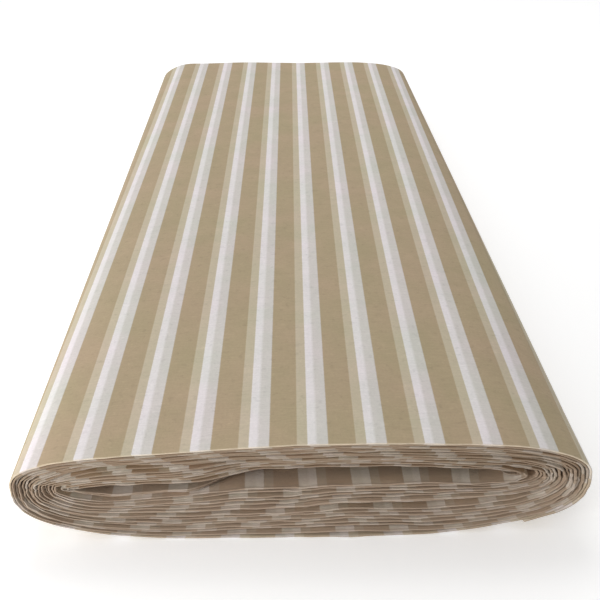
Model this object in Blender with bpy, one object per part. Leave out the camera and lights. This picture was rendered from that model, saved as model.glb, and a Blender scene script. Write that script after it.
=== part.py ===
"""Fabric bolt: one long cloth wound flat, with a corrugated board in its middle.

The cloth is modelled as its consecutive turns. Each turn is a closed strip of
constant thickness. The cloth's width runs along Y, the flat bolt's width along X.
"""
import math

import bmesh
import bpy

# The bolt, in metres.
CLOTH_WIDTH = 1.400        # from selvedge to selvedge, along Y
CLOTH_THICKNESS = 0.0020
TURNS = 18
END_GAP = 0.0003           # between the end of one turn and the start of the next
DISH = 0.028               # how far the innermost turn stands back at the near end

# Cross-section of the outermost turn: a flattened oval that sags at the bottom.
HALF_WIDTH = 0.2915
WIDEST_HEIGHT = 0.070      # height of the two folds above the floor
CROWN_RISE = 0.0495        # from the folds to the crown
BELLY_DROP = 0.0735        # from the folds to the belly before it flattens
CROWN_POWER = 3.0
BELLY_POWER = 2.65

# Cross-section of the slit in the middle.
SLIT_HALF_WIDTH = 0.2350
SLIT_HALF_HEIGHT = 0.0070
SLIT_HEIGHT = 0.0660       # height of the slit's middle above the floor
SLIT_POWER = 3.0

SEGMENTS = 12              # straight segments in each quarter of a turn
FLAP_SEGMENTS = 5          # segments of the free end, below the right-hand fold

# Corrugated board in the slit.
BOARD_WIDTH = 0.360
BOARD_LENGTH = 1.260
LINER_THICKNESS = 0.0008
FLUTE_THICKNESS = 0.0006
FLUTE_HEIGHT = 0.0036      # outside height of the fluted sheet
FLUTE_PITCH = 0.0090
FLUTE_STEPS = 6            # segments in one flute
BOARD_DROP = 0.0034        # board's middle below the slit's middle

CLOTH_COLOUR = (0.43, 0.35, 0.22, 1.0)
TAIL_COLOUR = (0.50, 0.43, 0.30, 1.0)
LINER_COLOUR = (0.42, 0.28, 0.16, 1.0)
FLUTE_COLOUR = (0.36, 0.23, 0.13, 1.0)


def clear_scene():
    for obj in list(bpy.data.objects):
        bpy.data.objects.remove(obj, do_unlink=True)


def make_material(name, colour, roughness):
    material = bpy.data.materials.new(name)
    material.use_nodes = True
    shader = material.node_tree.nodes["Principled BSDF"]
    shader.inputs["Base Color"].default_value = colour
    shader.inputs["Roughness"].default_value = roughness
    shader.inputs["Metallic"].default_value = 0.0
    material.diffuse_color = colour
    return material


def signed_power(value, power):
    return math.copysign(abs(value) ** power, value)


def oval_point(angle, half_width, half_height, power):
    """A point of a superellipse, from its usual angle."""
    x = half_width * signed_power(math.cos(angle), 2.0 / power)
    z = half_height * signed_power(math.sin(angle), 2.0 / power)
    return x, z


def outer_point(angle):
    """A point of the outermost turn, flattened where it rests on the floor."""
    if math.sin(angle) >= 0.0:
        x, z = oval_point(angle, HALF_WIDTH, CROWN_RISE, CROWN_POWER)
    else:
        x, z = oval_point(angle, HALF_WIDTH, BELLY_DROP, BELLY_POWER)
    return x, max(z + WIDEST_HEIGHT, 0.0)


def slit_point(angle):
    x, z = oval_point(angle, SLIT_HALF_WIDTH, SLIT_HALF_HEIGHT, SLIT_POWER)
    return x, z + SLIT_HEIGHT


def quarter_fractions():
    """Fractions of a quarter turn, closer together near the fold and the crown."""
    fractions = []
    for step in range(SEGMENTS + 1):
        near = (step / SEGMENTS) ** 1.5
        far = (1.0 - step / SEGMENTS) ** 1.5
        fractions.append(near / (near + far))
    return fractions


def turn_angles():
    """Angles of one turn: right fold, belly, left fold, crown, right fold."""
    angles = []
    for quarter in range(4):
        for fraction in quarter_fractions()[:-1]:
            angles.append(-0.5 * math.pi * (quarter + fraction))
    angles.append(-2.0 * math.pi)
    return angles


def ray(angle):
    """The slit's point at this angle, and the way from there to the outside."""
    inner = slit_point(angle)
    outer = outer_point(angle)
    return inner, (outer[0] - inner[0], outer[1] - inner[1])


def pack_depth(angle):
    """Thickness of the whole pack of turns, square to the cloth at this angle."""
    step = 0.01
    before = outer_point(angle - step)
    after = outer_point(angle + step)
    along = (after[0] - before[0], after[1] - before[1])
    length = math.hypot(along[0], along[1])
    way = ray(angle)[1]
    return abs(way[0] * along[1] - way[1] * along[0]) / length


def cloth_section(turn, angle):
    """The outer and the inner point of the cloth in this turn, at this angle.

    The cloth climbs by one turn between the left fold and the right one, over
    the crown, so that the belly of every turn lies level.
    """
    climb = max(0.0, -angle / math.pi - 1.0)
    level = (turn + climb) / TURNS
    inside = level - CLOTH_THICKNESS / pack_depth(angle)
    start, way = ray(angle)
    outer = (start[0] + level * way[0], start[1] + level * way[1])
    inner = (start[0] + inside * way[0], start[1] + inside * way[1])
    return outer, inner


def shift_z(section, rise):
    return tuple((x, z + rise) for x, z in section)


def turn_sections(turn):
    """Sections of one whole turn, with half of the end gap left at each end."""
    sections = [cloth_section(turn, angle) for angle in turn_angles()]
    sections[0] = shift_z(sections[0], -0.5 * END_GAP)
    sections[-1] = shift_z(sections[-1], 0.5 * END_GAP)
    return sections


def flap_sections():
    """Sections of the free end: it goes on down from the last turn's end."""
    angles = turn_angles()[:FLAP_SEGMENTS + 1]
    sections = [cloth_section(TURNS + 1, angle) for angle in angles]
    sections[0] = shift_z(sections[0], -0.5 * END_GAP)
    return sections


def end_of_turn(turn):
    """Y of this turn's near end. The inner turns stand back from the near end."""
    near = -0.5 * (CLOTH_WIDTH + DISH)
    back = DISH * (TURNS - turn) / (TURNS - 1)
    return near + max(0.0, back)


def strip_mesh(name, sections, near, far, origin=(0.0, 0.0, 0.0)):
    """A closed solid from a row of (outer, inner) sections, pushed along Y."""
    mesh = bmesh.new()
    rows = []
    for outer, inner in sections:
        corners = (
            (outer[0], near, outer[1]),
            (inner[0], near, inner[1]),
            (inner[0], far, inner[1]),
            (outer[0], far, outer[1]),
        )
        row = []
        for x, y, z in corners:
            row.append(mesh.verts.new((x - origin[0], y - origin[1], z - origin[2])))
        rows.append(row)
    for row, following in zip(rows, rows[1:]):
        for side in range(4):
            other = (side + 1) % 4
            mesh.faces.new((row[side], row[other], following[other], following[side]))
    mesh.faces.new(rows[0])
    mesh.faces.new(rows[-1])
    bmesh.ops.recalc_face_normals(mesh, faces=mesh.faces)
    data = bpy.data.meshes.new(name)
    mesh.to_mesh(data)
    mesh.free()
    return data


def add_object(name, mesh, material, location=(0.0, 0.0, 0.0), smooth=True):
    obj = bpy.data.objects.new(name, mesh)
    obj.location = location
    mesh.materials.append(material)
    if smooth:
        for face in mesh.polygons:
            face.use_smooth = abs(face.normal.y) < 0.5
    bpy.context.collection.objects.link(obj)
    return obj


def build_turns():
    for turn in range(1, TURNS + 1):
        name = "wrap_%02d" % turn
        near = end_of_turn(turn)
        mesh = strip_mesh(name, turn_sections(turn), near, near + CLOTH_WIDTH)
        material = make_material(name, CLOTH_COLOUR, 0.95)
        add_object(name, mesh, material)


def build_tail():
    """The free end of the cloth. It lifts about its upper, outer edge."""
    sections = flap_sections()
    near = end_of_turn(TURNS)
    hinge = cloth_section(TURNS + 1, 0.0)[0]
    origin = (hinge[0], near + 0.5 * CLOTH_WIDTH, hinge[1])
    mesh = strip_mesh("tail_flap", sections, near, near + CLOTH_WIDTH, origin)
    material = make_material("tail_flap", TAIL_COLOUR, 0.95)
    add_object("tail_flap", mesh, material, origin)


def board_sections(low, high):
    """A flat sheet across the board, between two heights."""
    half = 0.5 * BOARD_WIDTH
    return [((-half, high), (-half, low)), ((half, high), (half, low))]


def flute_sections(middle):
    """A wavy sheet, with its waves running along Y."""
    swing = 0.5 * (FLUTE_HEIGHT - FLUTE_THICKNESS)
    flutes = int(BOARD_WIDTH / FLUTE_PITCH)
    count = flutes * FLUTE_STEPS
    sections = []
    for step in range(count + 1):
        x = -0.5 * BOARD_WIDTH + BOARD_WIDTH * step / count
        z = middle + swing * math.cos(2.0 * math.pi * step / FLUTE_STEPS)
        half = 0.5 * FLUTE_THICKNESS
        sections.append(((x, z + half), (x, z - half)))
    return sections


def build_board():
    """Two flat liners with a fluted sheet between them."""
    middle = SLIT_HEIGHT - BOARD_DROP
    near = -0.5 * BOARD_LENGTH
    far = 0.5 * BOARD_LENGTH
    low = 0.5 * FLUTE_HEIGHT + END_GAP
    high = low + LINER_THICKNESS
    layers = (
        ("board_top_liner", board_sections(middle + low, middle + high), LINER_COLOUR),
        ("board_fluting", flute_sections(middle), FLUTE_COLOUR),
        ("board_bottom_liner", board_sections(middle - high, middle - low), LINER_COLOUR),
    )
    for name, sections, colour in layers:
        mesh = strip_mesh(name, sections, near, far)
        add_object(name, mesh, make_material(name, colour, 0.85), smooth=False)


def main():
    clear_scene()
    build_turns()
    build_tail()
    build_board()


main()
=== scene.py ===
"""Looks of the fabric bolt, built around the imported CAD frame.

Each turn of the CAD is replaced by a finer turn of striped upholstery cloth. A
point of the cloth is found from three things: how far it lies along the winding,
how far across the cloth's width, and which face of the cloth it is on. The stripes
follow the distance along the cloth, so they agree on the crown, the belly, the cut
edges and inside the slit.
"""
import math

import bpy
import numpy as np
from mathutils import Matrix, Vector


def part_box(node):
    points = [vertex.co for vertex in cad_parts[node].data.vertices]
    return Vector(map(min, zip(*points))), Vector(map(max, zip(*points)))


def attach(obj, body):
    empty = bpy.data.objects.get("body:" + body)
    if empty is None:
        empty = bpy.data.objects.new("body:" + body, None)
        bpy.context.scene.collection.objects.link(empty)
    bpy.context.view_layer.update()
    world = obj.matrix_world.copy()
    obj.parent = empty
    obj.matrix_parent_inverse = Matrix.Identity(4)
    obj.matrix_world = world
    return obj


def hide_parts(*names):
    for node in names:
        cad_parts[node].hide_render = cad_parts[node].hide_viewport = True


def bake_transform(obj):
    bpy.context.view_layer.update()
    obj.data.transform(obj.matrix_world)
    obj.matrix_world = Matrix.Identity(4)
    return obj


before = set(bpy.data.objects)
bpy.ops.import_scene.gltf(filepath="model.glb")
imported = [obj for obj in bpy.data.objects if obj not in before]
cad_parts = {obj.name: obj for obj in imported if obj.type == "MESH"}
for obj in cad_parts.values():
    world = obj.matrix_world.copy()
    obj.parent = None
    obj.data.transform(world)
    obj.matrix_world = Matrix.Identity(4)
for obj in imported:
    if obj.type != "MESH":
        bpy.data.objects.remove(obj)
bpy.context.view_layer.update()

MM = 0.001

# ---------------------------------------------------------------------------
# The winding, in metres. The section is the CAD's, with a more pointed slit.

TURNS = sum(name.startswith("wrap_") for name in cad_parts)
LAST_TURN = "wrap_%02d" % TURNS
bolt_low, bolt_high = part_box(LAST_TURN)
core_low, core_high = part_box("wrap_01")

CLOTH_WIDTH = bolt_high.y - bolt_low.y
NEAR_END = bolt_low.y
FAR_END = core_high.y
DISH = core_low.y - bolt_low.y
CLOTH_THICKNESS = 2.0 * MM

HALF_WIDTH = -bolt_low.x
WIDEST_HEIGHT = 70.0 * MM
CROWN_RISE = 49.5 * MM
BELLY_DROP = 73.5 * MM
CROWN_POWER = 3.0
BELLY_POWER = 2.65
SLIT_HALF_WIDTH = 235.0 * MM
SLIT_HALF_HEIGHT = 7.0 * MM
SLIT_HEIGHT = 66.0 * MM
SLIT_POWER = 2.3

COLUMNS = 4 * 56           # cloth segments around one turn
TAIL_ABOVE = 16            # columns of the free end above its hinge
TAIL_BELOW = 27            # columns of the free end below its hinge
TAIL_STANDOFF = 1.15       # the free end's level past the last turn, in thicknesses
LOOSE_REACH = 130.0 * MM   # how far in from an end the turns lie loosely
SAG_REACH = 90.0 * MM      # how far in from the near end the slit has sagged
CURL_REACH = 6.0 * MM      # how far in from a cut edge the cloth curls
FRAY_REACH = 4.5 * MM      # how far in from a cut edge the cloth is frayed
GAP_SHADE_REACH = 2.4 * MM    # how far in from a cut edge painted shade darkens the gap beside it
SLIT_SHADE_REACH = 60.0 * MM  # the same painted shade inside the slit, where it reaches much deeper

# Stripes, one repeat along the cloth.
REPEAT = 57.1 * MM
BRIGHT_WHITE = 8.5 * MM
SOFT_WHITE = 11.2 * MM
TAN = 26.9 * MM
STRIPE_START = 6.1 * MM    # where a bright white stripe starts, from the crown's middle
STRIPE_SKEW = 0.0163       # the stripes drift this much across the cloth's width
WARP_PITCH = 0.0011        # one thread to the next, along the cloth
WEFT_PITCH = 0.0013        # and across it

random = np.random.default_rng(17)


def signed_power(value, power):
    return np.sign(value) * np.abs(value) ** power


def slit_curve(angle):
    """X and Z of the slit's wall at these angles."""
    x = SLIT_HALF_WIDTH * signed_power(np.cos(angle), 2.0 / SLIT_POWER)
    z = SLIT_HALF_HEIGHT * signed_power(np.sin(angle), 2.0 / SLIT_POWER)
    return np.stack([x, z + SLIT_HEIGHT], -1)


def outer_curve(angle):
    """X and Z of the outermost turn, flattened where it lies on the floor."""
    upper = np.sin(angle) >= 0.0
    power = np.where(upper, CROWN_POWER, BELLY_POWER)
    height = np.where(upper, CROWN_RISE, BELLY_DROP)
    x = HALF_WIDTH * signed_power(np.cos(angle), 2.0 / power)
    z = height * signed_power(np.sin(angle), 2.0 / power) + WIDEST_HEIGHT
    return np.stack([x, np.maximum(z, 0.0)], -1)


def column_angles():
    """Angles of one turn's columns, from the right fold under the belly and back.

    They are closer together near the folds and near the middle of the flats.
    """
    step = np.arange(COLUMNS // 4) / (COLUMNS // 4)
    near = step ** 1.5
    far = (1.0 - step) ** 1.5
    fraction = near / (near + far)
    quarters = [-0.5 * math.pi * (quarter + fraction) for quarter in range(4)]
    return np.concatenate(quarters + [[-2.0 * math.pi]])


ANGLES = column_angles()
AROUND = np.arange(COLUMNS + 1) / COLUMNS
CLIMB = np.maximum(0.0, -ANGLES / math.pi - 1.0)
SLIT = slit_curve(ANGLES)
WAY = outer_curve(ANGLES) - SLIT
MIDDLE_X = SLIT[:, 0] + 0.5 * WAY[:, 0]


def ease(value):
    """0 below 0, 1 above 1, and smooth between them."""
    value = np.clip(value, 0.0, 1.0)
    return value * value * (3.0 - 2.0 * value)


def fade(distance, reach):
    """1 at an end of the bolt, 0 at this reach inwards."""
    return ease(1.0 - distance / reach)


def through(x, stations, heights):
    """A smooth line that passes these heights at these stations."""
    x = np.clip(x, stations[0], stations[-1])
    before = np.searchsorted(stations, x, side="right") - 1
    before = np.clip(before, 0, len(stations) - 2)
    after = before + 1
    heights = np.asarray(heights)
    share = ease((x - stations[before]) / (stations[after] - stations[before]))
    return heights[before] + share * (heights[after] - heights[before])


def bump(x, middle, spread):
    return np.exp(-((x - middle) / spread) ** 2)


def near_slit_shift():
    """How far the slit's wall leaves the CAD's at the near end, where it has sagged.

    The heights, in millimetres above the floor, are the roof's and the floor's at
    the same stations. The right-hand tip is also drawn in towards the middle.
    """
    stations = np.array([-235, -190, -120, -40, 60, 140, 200, 235]) * MM
    roof_heights = [63.5, 67.0, 67.5, 70.5, 72.0, 73.0, 72.0, 67.5]
    floor_heights = [63.5, 57.0, 61.0, 68.5, 71.5, 71.0, 68.5, 67.5]
    roof = through(SLIT[:, 0], stations, roof_heights)
    floor = through(SLIT[:, 0], stations, floor_heights)
    wall = np.where(np.sin(ANGLES) > 0.0, roof, floor) * MM
    tip_shift = -18.0 * MM
    x = tip_shift * ease((SLIT[:, 0] - 60.0 * MM) / (170.0 * MM))
    return np.stack([x, wall - SLIT[:, 1]], -1)


NEAR_SLIT_SHIFT = near_slit_shift()


def pack_depth():
    """Thickness of all the turns together, square to the cloth, in each column."""
    step = 0.01
    tangent = outer_curve(ANGLES + step) - outer_curve(ANGLES - step)
    tangent /= np.linalg.norm(tangent, axis=1)[:, None]
    return np.abs(WAY[:, 0] * tangent[:, 1] - WAY[:, 1] * tangent[:, 0])


DEPTH = pack_depth()


def periodic_noise(rows, waves, strength):
    """Smooth noise around one turn, that joins up with itself. One row per turn."""
    total = np.zeros((rows, COLUMNS + 1))
    for wave in range(1, waves + 1):
        phase = random.uniform(0.0, 2.0 * math.pi, (rows, 1))
        size = random.normal(0.0, 1.0, (rows, 1)) / math.sqrt(wave)
        total += size * np.sin(2.0 * math.pi * wave * AROUND[None, :] + phase)
    return strength * total / math.sqrt(waves)


def spiral_noise(shortest, longest, count, strength):
    """A smooth function of the distance along the winding, counted in turns."""
    lengths = np.exp(random.uniform(math.log(shortest), math.log(longest), count))
    phases = random.uniform(0.0, 2.0 * math.pi, count)
    size = strength * math.sqrt(2.0 / count)

    def noise(turns):
        waves = np.sin(2.0 * math.pi * turns[..., None] / lengths + phases)
        return size * waves.sum(-1)

    return noise


def loose_shares(pack_gaps, tight_turns):
    """How one end shares its spare room among the gaps between turns.

    pack_gaps lists the wide gaps: (turn, share, angle of the middle, spread).
    The first tight_turns turns lie close together under the slit.
    """
    shares = np.exp(periodic_noise(TURNS, 9, 1.1))
    shares[:tight_turns] *= 1.0 - 0.85 * np.exp(-((ANGLES - BELLY) / 0.9) ** 6)
    for turn, share, middle, spread in pack_gaps:
        away = np.angle(np.exp(1j * (ANGLES - middle)))
        shares[turn] += share * np.exp(-(away / spread) ** 2)
    shares[0] *= 0.2
    total = np.cumsum(shares, axis=0) / shares.sum(axis=0)
    return np.concatenate([np.zeros((1, COLUMNS + 1)), total])


RIGHT, BELLY, LEFT, CROWN = 0.0, -0.5 * math.pi, math.pi, 0.5 * math.pi
INNER_PACK = 3             # turns of the loose inner pack
NEAR_SHARES = loose_shares([
    (INNER_PACK + 1, 9.0, RIGHT + 0.15, 0.4),
    (INNER_PACK, 14.0, LEFT + 0.45, 0.45),
    (10, 5.0, BELLY + 0.4, 0.5),
    (9, 8.0, LEFT - 0.8, 0.35),
    (16, 6.0, CROWN - 0.5, 0.6),
], INNER_PACK)
FAR_SHARES = loose_shares([
    (7, 18.0, RIGHT - 0.3, 0.6),
    (10, 16.0, LEFT - 0.3, 0.5),
    (14, 10.0, CROWN + 0.3, 0.8),
], 0)


def track(number, near_loose, far_loose):
    """Level of a track's outer face: 0 is the slit's wall, 1 the outermost turn.

    Turn k lies on track k under the belly, and climbs to track k + 1 over the crown.
    The free end's track lies over the last turn, at one level for all of the rows.
    """
    if number > TURNS:
        level = 1.0 + TAIL_STANDOFF * CLOTH_THICKNESS / DEPTH[:, None]
        return np.broadcast_to(level, near_loose.shape)
    spare = DEPTH[:, None] - TURNS * CLOTH_THICKNESS
    even = (1.0 - near_loose - far_loose) * number / TURNS
    near = near_loose * NEAR_SHARES[number][:, None]
    far = far_loose * FAR_SHARES[number][:, None]
    return (number * CLOTH_THICKNESS + spare * (even + near + far)) / DEPTH[:, None]


group_noise = spiral_noise(0.9, 3.5, 12, 1.0 * MM)
wander_noise = spiral_noise(0.22, 0.9, 24, 0.7 * MM)
ripple_noise = spiral_noise(0.02, 0.10, 40, 0.25 * MM)
far_noise = spiral_noise(0.15, 0.9, 24, 0.6 * MM)
curl_noise = spiral_noise(0.02, 0.12, 48, 0.30 * MM)


def near_recess(turns):
    """How far the near edge stands back at this many turns along the winding."""
    left = np.clip((TURNS + 1.0 - turns) / TURNS, 0.0, 1.0)
    around = turns % 1.0
    x = np.interp(around, AROUND, MIDDLE_X)

    # The whole dish: deepest above the slit's middle, shallower at the folds.
    below_recess = 11.0 * MM
    left_recess = 12.0 * MM
    middle = ease((x + 140.0 * MM) / (90.0 * MM))
    right = ease((x - 110.0 * MM) / (110.0 * MM))
    above_recess = left_recess + (DISH - 13.0 * MM) * middle - 7.0 * MM * right
    above = 0.5 - 0.5 * np.sin(2.0 * math.pi * around)
    recess = left * (below_recess + (above_recess - below_recess) * above)

    # The inner pack under the slit, up to its right-hand tip.
    inner_recess = 32.0 * MM
    inner = np.where(around < 0.5, middle * ease((262.0 * MM - x) / (40.0 * MM)), 0.0)
    recess = recess + inner_recess * inner * ease((INNER_PACK + 0.7 - turns) / 0.3)

    # A group of turns above the slit, on the left.
    group_recess = 8.0 * MM
    group = np.where(around > 0.5, bump(x, -180.0 * MM, 60.0 * MM), 0.0)
    recess = recess + group_recess * group * bump(turns, 11.2, 1.3)

    # The last turns, which reach forward where they lie on the floor.
    foot_reach = 3.5 * MM
    foot = np.where(around < 0.5, bump(x, 50.0 * MM, 90.0 * MM), 0.0)
    return recess - foot_reach * foot * ease((turns - 15.5) / 2.0)


def near_edge(turns):
    """Y of the cloth's near edge, at this many turns along the winding."""
    left = np.clip((TURNS + 1.0 - turns) / TURNS, 0.0, 1.0)
    calm = 0.25 + 0.75 * np.clip(left * 3.0, 0.0, 1.0)
    wander = calm * (group_noise(turns) + wander_noise(turns))
    return NEAR_END + near_recess(turns) + wander + ripple_noise(turns)


def far_edge(turns):
    return near_edge(turns) + CLOTH_WIDTH + far_noise(turns)


def loop_rows(spacing):
    """The rows of the closed loop across the cloth: up one face and down the other.

    Each row is (face, anchor, offset). face is 1 outside and -1 inside, anchor 0 at
    the near edge and 1 at the far edge, and offset a distance from there.
    """
    ends = [0.8, 1.8, 3.2, 5.5, 9.0, 14.0, 21.0, 31.0, 45.0, 64.0, 90.0, 125.0]
    middles = np.linspace(0.0, 1.0, spacing + 1)[1:-1]
    outside = [(1.0, 0.0, end * MM) for end in ends]
    outside += [(1.0, middle, 0.0) for middle in 0.1 + 0.8 * middles]
    outside += [(1.0, 1.0, -end * MM) for end in reversed(ends)]
    rounding = [(0.88, 0.30), (0.6, 0.0), (0.2, -0.12),
                (-0.2, -0.12), (-0.6, 0.0), (-0.88, 0.30)]
    far_side = [(face, 1.0, -depth * MM) for face, depth in rounding]
    inside = [(-1.0, anchor, offset) for face, anchor, offset in reversed(outside)]
    near_side = [(-face, 0.0, depth * MM) for face, depth in rounding]
    return np.array(outside + far_side + inside + near_side)


def undulation(x, y, level):
    """Slow swells of the whole pack, largest on the outside. In metres."""
    swell = np.sin(4.1 * x + 2.3 * y + 0.4) * np.sin(1.7 * x - 5.2 * y + 1.1)
    ripple = np.sin(13.0 * x + 6.0 * y) * np.sin(9.0 * y - 7.0 * x + 2.0)
    near = fade(y - NEAR_END, 0.35)
    far = fade(NEAR_END + CLOTH_WIDTH - y, 0.50)
    lift = near * (3.0 * MM * bump(x, 60.0 * MM, 120.0 * MM)
                   + 4.0 * MM * bump(x, 225.0 * MM, 60.0 * MM)
                   - 3.2 * MM * bump(x, -150.0 * MM, 90.0 * MM))
    lift = lift + far * (8.0 * MM * bump(x, -245.0 * MM, 45.0 * MM)
                         - 5.0 * MM * bump(x, 50.0 * MM, 130.0 * MM))
    wave = 0.7 * MM * swell + 0.25 * MM * ripple
    return (wave + lift) * np.clip(level, 0.0, 1.0) ** 2


def cloth_points(turn, rows, columns):
    """Points of part of one turn, as an array of columns by rows by XYZ."""
    faces, anchors, offsets = rows[:, 0], rows[:, 1], rows[:, 2]
    turns = (turn + AROUND)[:, None]
    near = near_edge(turns)
    far = far_edge(turns)
    y = near + (far - near) * anchors + offsets
    near_loose = fade(y - NEAR_END, LOOSE_REACH)
    far_loose = fade(FAR_END - y, LOOSE_REACH)
    lower = track(turn, near_loose, far_loose)
    upper = track(turn + 1, near_loose, far_loose)
    level = lower + CLIMB[:, None] * (upper - lower)
    level = level - 0.5 * (1.0 - faces) * CLOTH_THICKNESS / DEPTH[:, None]
    edge = np.maximum(fade(y - near, CURL_REACH), fade(far - y, CURL_REACH))
    curl = curl_noise(turns) * edge * np.clip((TURNS + 0.5 - turns) / 3.0, 0.0, 1.0)
    level = level + curl / DEPTH[:, None]
    shift = NEAR_SLIT_SHIFT[:, None, :] * fade(y - NEAR_END, SAG_REACH)[..., None]
    way = WAY[:, None, :] - shift
    x = SLIT[:, None, 0] + shift[..., 0] + level * way[..., 0]
    z = SLIT[:, None, 1] + shift[..., 1] + level * way[..., 1]
    above = np.clip((z - WIDEST_HEIGHT) / CROWN_RISE, 0.0, 1.0)
    z = z + above * undulation(x, y, level)
    return np.stack([x, y, z], -1)[columns]


def along_turn(turn):
    """Length of cloth from the start of a turn to each of its columns."""
    nothing = np.zeros((COLUMNS + 1, 1))
    lower = track(turn, nothing, nothing)[:, 0]
    upper = track(turn + 1, nothing, nothing)[:, 0]
    level = lower + CLIMB * (upper - lower) - 0.5 * CLOTH_THICKNESS / DEPTH
    middle = SLIT + level[:, None] * WAY
    steps = np.linalg.norm(np.diff(middle, axis=0), axis=1)
    return np.concatenate([[0.0], np.cumsum(steps)])


TURN_LENGTHS = [along_turn(turn)[-1] for turn in range(1, TURNS + 1)]
CROWN_COLUMN = 3 * COLUMNS // 4
STRIPE_ORIGIN = sum(TURN_LENGTHS[:-1]) + along_turn(TURNS)[CROWN_COLUMN] + STRIPE_START


def row_positions(rows, face_share):
    """V of each row of the loop: the cut edges and the ends get more of the map."""
    faces, anchors, offsets = rows[:, 0], rows[:, 1], rows[:, 2]
    y = anchors * CLOTH_WIDTH + offsets
    following = np.roll(np.arange(len(rows)), -1)
    steps = np.abs(y[following] - y) + CLOTH_THICKNESS * np.abs(faces[following] - faces)
    hidden_share = 0.05
    end_reach = 60.0 * MM
    share = np.where(faces > 0.9, face_share, hidden_share)
    close = np.minimum(y, CLOTH_WIDTH - y) < end_reach
    weights = steps * np.where(close, 1.0, share)
    sums = np.concatenate([[0.0], np.cumsum(weights)])
    return sums / sums[-1]


def edge_share(rows, reach):
    """1 at the cut edges, 0 from this reach inwards. One value per row."""
    anchors, offsets = rows[:, 1], np.abs(rows[:, 2])
    away = np.where((anchors > 0.0) & (anchors < 1.0), 1.0, offsets)
    return fade(away, reach)


def strip_mesh(name, points, along, rows, face_share, inside_shade_reach=GAP_SHADE_REACH):
    """A closed strip of cloth from its columns of points, with its own coordinates.

    inside_shade_reach is how far in from the cut edges painted shade darkens the cloth's
    inside face.
    """
    columns, loops = points.shape[:2]
    index = np.arange(columns * loops).reshape(columns, loops)
    over = np.roll(index, -1, axis=1)
    quads = np.stack([index[:-1], index[1:], over[1:], over[:-1]], -1).reshape(-1, 4)
    caps = [index[0].tolist(), index[-1][::-1].tolist()]
    mesh = bpy.data.meshes.new(name)
    mesh.from_pydata(points.reshape(-1, 3).tolist(), [], quads.tolist() + caps)
    mesh.polygons.foreach_set("use_smooth", [True] * len(quads) + [False] * 2)

    along = np.broadcast_to((along - STRIPE_ORIGIN)[:, None], (columns, loops))
    across = points[..., 1] - NEAR_END
    face = np.broadcast_to(rows[:, 0], (columns, loops))
    # Painted shade: the gaps between turns, beside the cut edges, are marked to be
    # darkened.
    inside_shade = edge_share(rows, inside_shade_reach)
    outside_shade = edge_share(rows, GAP_SHADE_REACH)
    gap_shade = np.where(face < 0.0, inside_shade, outside_shade)
    values = {
        "along": along,
        "across": across,
        "stripe": along - STRIPE_SKEW * across,
        "cut": 1.0 - face ** 4,
        "back": 0.5 - 0.5 * face,
        "crown": ease((points[..., 2] - 50.0 * MM) / (45.0 * MM)),
        "frayed": np.broadcast_to(edge_share(rows, FRAY_REACH), (columns, loops)),
        "gap_shade": ease((np.abs(face) - 0.5) / 0.4) * gap_shade,
    }
    for key, value in values.items():
        layer = mesh.attributes.new(key, "FLOAT", "POINT")
        layer.data.foreach_set("value", np.ascontiguousarray(value, np.float32).ravel())
    add_bake_map(mesh, columns, loops, rows, face_share)
    return mesh


def add_bake_map(mesh, columns, loops, rows, face_share):
    """A UV map of the strip, unrolled, with each of its rows as wide as it needs."""
    u = np.linspace(0.002, 0.998, columns)
    v = row_positions(rows, face_share)
    column = np.repeat(np.arange(columns - 1), loops)
    row = np.tile(np.arange(loops), columns - 1)
    quad_u = np.stack([u[column], u[column + 1], u[column + 1], u[column]], -1)
    quad_v = np.stack([v[row], v[row], v[row + 1], v[row + 1]], -1)
    quads = np.stack([quad_u, quad_v], -1).reshape(-1, 2)
    first = np.stack([np.full(loops, u[0]), v[:-1]], -1)
    last = np.stack([np.full(loops, u[-1]), v[:-1][::-1]], -1)
    layer = mesh.uv_layers.new(name="OFBake")
    layer.data.foreach_set("uv", np.concatenate([quads, first, last]).ravel())


def connect(tree, made, number, value):
    """Set an input socket, counted from 0, or link it to another node's output."""
    socket = made.inputs[number]
    if isinstance(value, bpy.types.NodeSocket):
        tree.links.new(value, socket)
    else:
        socket.default_value = value


def math_node(tree, operation, *values):
    made = tree.nodes.new("ShaderNodeMath")
    made.operation = operation
    for number, value in enumerate(values):
        connect(tree, made, number, value)
    return made.outputs[0]


def mix_colours(tree, factor, first, second, blend="MIX"):
    made = tree.nodes.new("ShaderNodeMix")
    made.data_type = "RGBA"
    made.blend_type = blend
    connect(tree, made, 0, factor)
    connect(tree, made, 6, first)
    connect(tree, made, 7, second)
    return made.outputs[2]


def attribute(tree, name):
    made = tree.nodes.new("ShaderNodeAttribute")
    made.attribute_name = name
    return made.outputs["Fac"]


def ramp(tree, factor, stops, interpolation="LINEAR"):
    made = tree.nodes.new("ShaderNodeValToRGB")
    made.color_ramp.interpolation = interpolation
    elements = made.color_ramp.elements
    while len(elements) < len(stops):
        elements.new(0.5)
    for element, (position, colour) in zip(elements, stops):
        element.position = position
        element.color = colour
    tree.links.new(factor, made.inputs["Fac"])
    return made.outputs["Color"]


def noise_texture(tree, vector, scale, detail=2.0, roughness=0.5):
    made = tree.nodes.new("ShaderNodeTexNoise")
    tree.links.new(vector, made.inputs["Vector"])
    made.inputs["Scale"].default_value = scale
    made.inputs["Detail"].default_value = detail
    made.inputs["Roughness"].default_value = roughness
    return made.outputs["Fac"]


def linear(red, green, blue):
    """A colour from its screen values, from 0 to 255."""
    values = []
    for screen in (red, green, blue):
        share = screen / 255.0
        low = share / 12.92
        high = ((share + 0.055) / 1.055) ** 2.4
        values.append(low if share <= 0.04045 else high)
    return (*values, 1.0)


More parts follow.
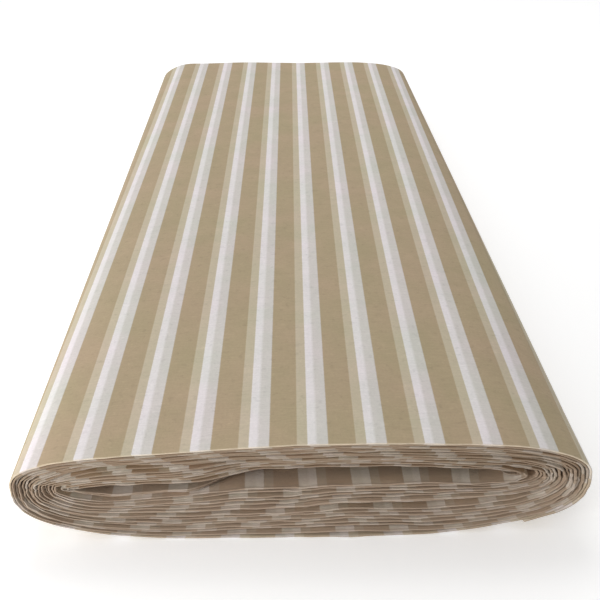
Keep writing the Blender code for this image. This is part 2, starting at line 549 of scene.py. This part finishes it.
TAN_COLOUR = linear(174, 156, 128)
CREAM_COLOUR = linear(194, 182, 160)
BRIGHT_WHITE_COLOUR = linear(227, 222, 223)
SOFT_WHITE_COLOUR = linear(208, 203, 199)
# Stripes of the inside turns, the same cloth as the outside: paler whites are painted
# light, deeper and warmer tan and cream are painted warm shade between the turns.
INNER_LIT_AND_SHADED_COLOURS = [linear(240, 232, 221), linear(226, 217, 203),
                 linear(166, 137, 106), linear(180, 161, 137)]
CUT_COLOUR = linear(146, 129, 114)
# Painted shade for the gaps between turns, beside the cut edges.
GAP_SHADE_COLOUR = linear(96, 77, 61)
FRAYED_COLOUR = linear(166, 148, 131)
# Painted shade: the cut edges over the crown, darker than the same edges lower down.
CROWN_CUT_SHADE_COLOUR = linear(116, 99, 82)
OUTER_CUT_COLOUR = linear(208, 193, 170)
BACK_COLOUR = linear(190, 174, 158)
BACK_SHARE = 0.42          # how much of the inside face's colour is the back's
CUT_SHARE = 0.58           # how much of a cut edge's colour is the cut thread's


def new_material(name, roughness):
    material = bpy.data.materials.new(name)
    material.use_nodes = True
    tree = material.node_tree
    shader = tree.nodes["Principled BSDF"]
    shader.inputs["Roughness"].default_value = roughness
    return material, tree, shader


def add_relief(tree, shader, height, strength, distance):
    relief = tree.nodes.new("ShaderNodeBump")
    relief.inputs["Strength"].default_value = strength
    relief.inputs["Distance"].default_value = distance
    tree.links.new(height, relief.inputs["Height"])
    tree.links.new(relief.outputs["Normal"], shader.inputs["Normal"])


def stripe_stops(colours):
    """Colour stops of one repeat, with edges a fraction of a millimetre soft."""
    bright, pale, tan, cream = colours
    soft = 0.5 * MM / REPEAT
    first = BRIGHT_WHITE / REPEAT
    second = first + SOFT_WHITE / REPEAT
    third = second + TAN / REPEAT
    return [
        (0.0, bright),
        (first - 3.0 * soft, bright),
        (first + 3.0 * soft, pale),
        (second - soft, pale),
        (second + soft, tan),
        (third - soft, tan),
        (third + soft, cream),
        (1.0 - soft, cream),
        (1.0, bright),
    ]


def cloth_material(name, colours, cut_colour, fray_and_shade_share):
    """Brushed, yarn-dyed upholstery cloth, with frayed cut edges.

    cut_colour is the cut edges' colour on the crown; for the inside cloth it is painted
    shade, darker than the cut edges lower down. fray_and_shade_share, from 0 to 1, is
    how strongly the cloth beside a cut edge is frayed, and how dark the painted shade is
    where turns meet.
    """
    material, tree, shader = new_material(name, 0.92)
    place = tree.nodes.new("ShaderNodeCombineXYZ")
    along = attribute(tree, "along")
    across = attribute(tree, "across")
    tree.links.new(along, place.inputs["X"])
    tree.links.new(across, place.inputs["Y"])
    back = attribute(tree, "back")
    tree.links.new(math_node(tree, "MULTIPLY", back, 0.01), place.inputs["Z"])
    vector = place.outputs[0]

    fuzz = noise_texture(tree, vector, 900.0, 3.0, 0.6)
    drift = math_node(tree, "MULTIPLY", math_node(tree, "SUBTRACT", fuzz, 0.5), 1.6 * MM)
    stripe = math_node(tree, "ADD", attribute(tree, "stripe"), drift)
    repeat = math_node(tree, "FRACT", math_node(tree, "DIVIDE", stripe, REPEAT))
    colour = ramp(tree, repeat, stripe_stops(colours))

    blotch = noise_texture(tree, vector, 18.0, 5.0, 0.65)
    fibre = noise_texture(tree, vector, 320.0, 5.0, 0.7)
    stretched = tree.nodes.new("ShaderNodeVectorMath")
    stretched.operation = "MULTIPLY"
    tree.links.new(vector, stretched.inputs[0])
    stretched.inputs[1].default_value = (55.0, 520.0, 1.0)
    slub = noise_texture(tree, stretched.outputs[0], 1.0, 2.0, 0.5)
    fleck = ramp(tree, noise_texture(tree, vector, 110.0, 3.0, 0.6),
                 [(0.30, (0.90, 0.90, 0.90, 1.0)), (0.42, (1.0, 1.0, 1.0, 1.0)),
                  (0.60, (1.0, 1.0, 1.0, 1.0)), (0.72, (1.07, 1.07, 1.07, 1.0))])
    shade = math_node(tree, "ADD", math_node(tree, "MULTIPLY", blotch, 0.20),
                      math_node(tree, "MULTIPLY", fibre, 0.26))
    shade = math_node(tree, "ADD", shade, math_node(tree, "MULTIPLY", slub, 0.16))
    shade = math_node(tree, "ADD", shade, 0.69)
    colour = mix_colours(tree, 1.0, colour, shade, "MULTIPLY")
    warm = ramp(tree, noise_texture(tree, vector, 9.0, 3.0, 0.6),
                [(0.35, (0.97, 1.0, 0.95, 1.0)), (0.65, (1.02, 0.985, 1.0, 1.0))])
    colour = mix_colours(tree, 1.0, colour, warm, "MULTIPLY")
    colour = mix_colours(tree, 1.0, colour, fleck, "MULTIPLY")
    colour = mix_colours(tree, math_node(tree, "MULTIPLY", back, BACK_SHARE), colour,
                         BACK_COLOUR)
    frayed = math_node(tree, "MULTIPLY", attribute(tree, "frayed"), fray_and_shade_share)
    colour = mix_colours(tree, frayed, colour, FRAYED_COLOUR)
    streak = noise_texture(tree, vector, 45.0, 3.0, 0.7)
    worn = math_node(tree, "ADD", math_node(tree, "MULTIPLY", streak, 1.3), 0.35)
    cut = attribute(tree, "cut")
    # Over the crown the cut edges blend to cut_colour, which for the inside cloth is
    # painted shade.
    edge = mix_colours(tree, attribute(tree, "crown"), CUT_COLOUR, cut_colour)
    thread = mix_colours(tree, 1.0, edge, worn, "MULTIPLY")
    colour = mix_colours(tree, math_node(tree, "MULTIPLY", cut, CUT_SHARE), colour,
                         thread)
    # Painted shade: the gaps where turns meet darken towards a dark brown.
    gap_shade = math_node(tree, "MULTIPLY", attribute(tree, "gap_shade"), fray_and_shade_share)
    colour = mix_colours(tree, gap_shade, colour, GAP_SHADE_COLOUR)
    tree.links.new(colour, shader.inputs["Base Color"])

    warp_turns = math_node(tree, "MULTIPLY", along, 2.0 * math.pi / WARP_PITCH)
    weft_turns = math_node(tree, "MULTIPLY", across, 2.0 * math.pi / WEFT_PITCH)
    warp = math_node(tree, "SINE", warp_turns)
    weft = math_node(tree, "SINE", weft_turns)
    weave = math_node(tree, "MULTIPLY", warp, weft)
    height = math_node(tree, "ADD", math_node(tree, "MULTIPLY", weave, 0.25),
                       math_node(tree, "ADD", fibre, slub))
    add_relief(tree, shader, height, 0.5, 0.4 * MM)
    shader.inputs["Specular IOR Level"].default_value = 0.2
    shader.inputs["Sheen Weight"].default_value = 0.06
    shader.inputs["Sheen Roughness"].default_value = 0.5
    return material


def board_material(name, colour):
    """Plain kraft paper with faint fibres."""
    material, tree, shader = new_material(name, 0.85)
    place = tree.nodes.new("ShaderNodeTexCoord").outputs["Object"]
    fibre = noise_texture(tree, place, 260.0, 6.0, 0.7)
    blotch = noise_texture(tree, place, 25.0, 3.0, 0.6)
    shade = math_node(tree, "ADD", math_node(tree, "MULTIPLY", fibre, 0.3),
                      math_node(tree, "MULTIPLY", blotch, 0.2))
    shade = math_node(tree, "ADD", shade, 0.75)
    tree.links.new(mix_colours(tree, 1.0, colour, shade, "MULTIPLY"),
                   shader.inputs["Base Color"])
    add_relief(tree, shader, fibre, 0.3, 0.2 * MM)
    return material


def add_piece(name, mesh, material):
    piece = bpy.data.objects.new(name, mesh)
    mesh.materials.append(material)
    bpy.context.scene.collection.objects.link(piece)
    return piece


def declare_cloth(node_name):
    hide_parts(node_name)


def build_turns(inner, outer):
    """All the turns. The last one stops short of the free end."""
    start = 0.0
    for turn in range(1, TURNS + 1):
        is_last = turn == TURNS
        last = COLUMNS - TAIL_ABOVE if is_last else COLUMNS
        rows = loop_rows(90 if is_last else 4)
        points = cloth_points(turn, rows, slice(0, last + 1))
        along = along_turn(turn)[:last + 1]
        name = "cloth_turn_%02d" % turn
        # The innermost turn gets painted shade far in on its inside face, inside the
        # slit.
        mesh = strip_mesh(name, points, start + along, rows, 1.0 if is_last else 0.05,
                          SLIT_SHADE_REACH if turn == 1 else GAP_SHADE_REACH)
        piece = add_piece(name, mesh, outer if is_last else inner)
        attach(piece, "bolt")
        declare_cloth("wrap_%02d" % turn)
        start += TURN_LENGTHS[turn - 1]


def build_tail(material):
    """The free end: the last columns of the last turn, and the flap below the fold."""
    rows = loop_rows(90)
    first = COLUMNS - TAIL_ABOVE
    above = cloth_points(TURNS, rows, slice(first, COLUMNS))
    below = cloth_points(TURNS + 1, rows, slice(0, TAIL_BELOW + 1))
    along_above = sum(TURN_LENGTHS[:-1]) + along_turn(TURNS)[first:COLUMNS]
    along_below = sum(TURN_LENGTHS) + along_turn(TURNS + 1)[:TAIL_BELOW + 1]
    along = np.concatenate([along_above, along_below])
    points = np.concatenate([above, below])
    mesh = strip_mesh("cloth_tail", points, along, rows, 1.0)
    piece = add_piece("cloth_tail", mesh, material)
    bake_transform(piece)
    declare_cloth("tail_flap")


def paper_section(x, z, thickness):
    """X and Z of both faces of a sheet of paper that follows this line."""
    tangent = np.stack([np.gradient(x), np.gradient(z)], -1)
    tangent /= np.linalg.norm(tangent, axis=1)[:, None]
    normal = np.stack([-tangent[:, 1], tangent[:, 0]], -1) * thickness / 2.0
    upper = np.stack([x + normal[:, 0], z + normal[:, 1]], -1)
    lower = np.stack([x - normal[:, 0], z - normal[:, 1]], -1)
    return upper, lower


def board_mesh(name, x, z, thickness, near, far):
    """A closed sheet of paper, pushed along Y."""
    upper, lower = paper_section(x, z, thickness)
    points = []
    faces = []
    for index in range(len(x)):
        for section, y in ((upper, near), (lower, near), (lower, far), (upper, far)):
            points.append((section[index, 0], y, section[index, 1]))
    for index in range(len(x) - 1):
        base = 4 * index
        for side in range(4):
            other = (side + 1) % 4
            faces.append((base + side, base + 4 + side, base + 4 + other, base + other))
    faces.append((3, 2, 1, 0))
    end = 4 * (len(x) - 1)
    faces.append((end, end + 1, end + 2, end + 3))
    mesh = bpy.data.meshes.new(name)
    mesh.from_pydata(points, [], faces)
    mesh.update()
    return mesh


def build_board():
    """The corrugated board: each CAD layer again, with a rounder flute."""
    liner = board_material("kraft_liner", linear(186, 160, 126))
    fluting = board_material("kraft_fluting", linear(170, 142, 108))
    for name in ("board_top_liner", "board_bottom_liner"):
        low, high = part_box(name)
        x = np.linspace(low.x, high.x, 61)
        z = np.full_like(x, (low.z + high.z) / 2.0)
        mesh = board_mesh(name, x, z, high.z - low.z, low.y, high.y)
        add_board_piece(name, mesh, liner)
    low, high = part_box("board_fluting")
    thickness = 0.6 * MM
    flutes = 40
    steps_per_flute = 16
    x = np.linspace(low.x, high.x, flutes * steps_per_flute + 1)
    swing = (high.z - low.z - thickness) / 2.0
    wave = np.cos(2.0 * math.pi * flutes * (x - low.x) / (high.x - low.x))
    z = (low.z + high.z) / 2.0 + swing * wave
    mesh = board_mesh("board_fluting", x, z, thickness, low.y, high.y)
    add_board_piece("board_fluting", mesh, fluting)


def add_board_piece(name, mesh, material):
    piece = add_piece("kraft_" + name, mesh, material)
    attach(piece, "board")
    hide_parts(name)


def build_floor():
    size = 150.0
    corners = [(-size, -size), (size, -size), (size, size), (-size, size)]
    mesh = bpy.data.meshes.new("floor")
    mesh.from_pydata([(x, y, -0.5 * MM) for x, y in corners], [], [(0, 1, 2, 3)])
    material, tree, shader = new_material("floor", 0.9)
    shader.inputs["Base Color"].default_value = (0.93, 0.93, 0.93, 1.0)
    shader.inputs["Emission Color"].default_value = (1.0, 1.0, 1.0, 1.0)
    shader.inputs["Emission Strength"].default_value = 0.25
    floor = add_piece("floor", mesh, material)


def add_area_light(name, place, target, size, power):
    data = bpy.data.lights.new(name, "AREA")
    data.shape = "DISK"
    data.size = size
    data.energy = power
    light = bpy.data.objects.new(name, data)
    light.location = place
    away = Vector(place) - Vector(target)
    light.rotation_euler = away.to_track_quat("Z", "Y").to_euler()
    bpy.context.scene.collection.objects.link(light)


def add_ball_light(name, place, radius, power):
    data = bpy.data.lights.new(name, "POINT")
    data.shadow_soft_size = radius
    data.energy = power
    light = bpy.data.objects.new(name, data)
    light.location = place
    bpy.context.scene.collection.objects.link(light)


def build_light():
    """A soft studio, brighter on the left than on the right."""
    world = bpy.data.worlds.new("studio")
    world.use_nodes = True
    tree = world.node_tree
    background = tree.nodes["Background"]
    background.inputs["Strength"].default_value = 0.89
    place = tree.nodes.new("ShaderNodeTexCoord")
    split = tree.nodes.new("ShaderNodeSeparateXYZ")
    tree.links.new(place.outputs["Generated"], split.inputs[0])
    left_to_right = math_node(tree, "MULTIPLY_ADD", split.outputs["X"], 0.5, 0.5)
    grey = ramp(tree, left_to_right,
                [(0.25, (0.89, 0.89, 0.89, 1.0)), (0.85, (0.43, 0.43, 0.43, 1.0))])
    tree.links.new(grey, background.inputs["Color"])
    bpy.context.scene.world = world
    bpy.context.scene.view_settings.view_transform = "Standard"
    add_ball_light("key", (-1.35, -1.50, 0.40), 0.3, 60.0)
    add_area_light("top", (-0.2, 1.1, 2.6), (0.0, 0.6, 0.0), 2.0, 25.0)


CAMERA_PLACE = (-0.0181, NEAR_END - 0.6285, 0.6656)
CAMERA_PITCH = 30.94
CAMERA_YAW = 1.55
CAMERA_ROLL = -0.15
FOCAL_LENGTH = 50.4
SENSOR_WIDTH = 36.0


def build_camera():
    data = bpy.data.cameras.new("camera")
    data.lens = FOCAL_LENGTH
    data.sensor_width = SENSOR_WIDTH
    camera = bpy.data.objects.new("camera", data)
    turn = Matrix.Rotation(math.radians(-CAMERA_YAW), 4, "Z")
    tilt = Matrix.Rotation(math.radians(90.0 - CAMERA_PITCH), 4, "X")
    roll = Matrix.Rotation(math.radians(CAMERA_ROLL), 4, "Z")
    camera.matrix_world = Matrix.Translation(CAMERA_PLACE) @ turn @ tilt @ roll
    bpy.context.scene.collection.objects.link(camera)
    bpy.context.scene.camera = camera


def main():
    colours = [BRIGHT_WHITE_COLOUR, SOFT_WHITE_COLOUR, TAN_COLOUR, CREAM_COLOUR]
    # The inside cloth carries painted light and shade: its own stripe colours, darker
    # crown cut edges and shade in the gaps.
    inner = cloth_material("cloth_inside", INNER_LIT_AND_SHADED_COLOURS, CROWN_CUT_SHADE_COLOUR, 0.42)
    outer = cloth_material("cloth_outside", colours, OUTER_CUT_COLOUR, 0.0)
    build_turns(inner, outer)
    build_tail(outer)
    build_board()
    build_floor()
    build_light()
    build_camera()


main()
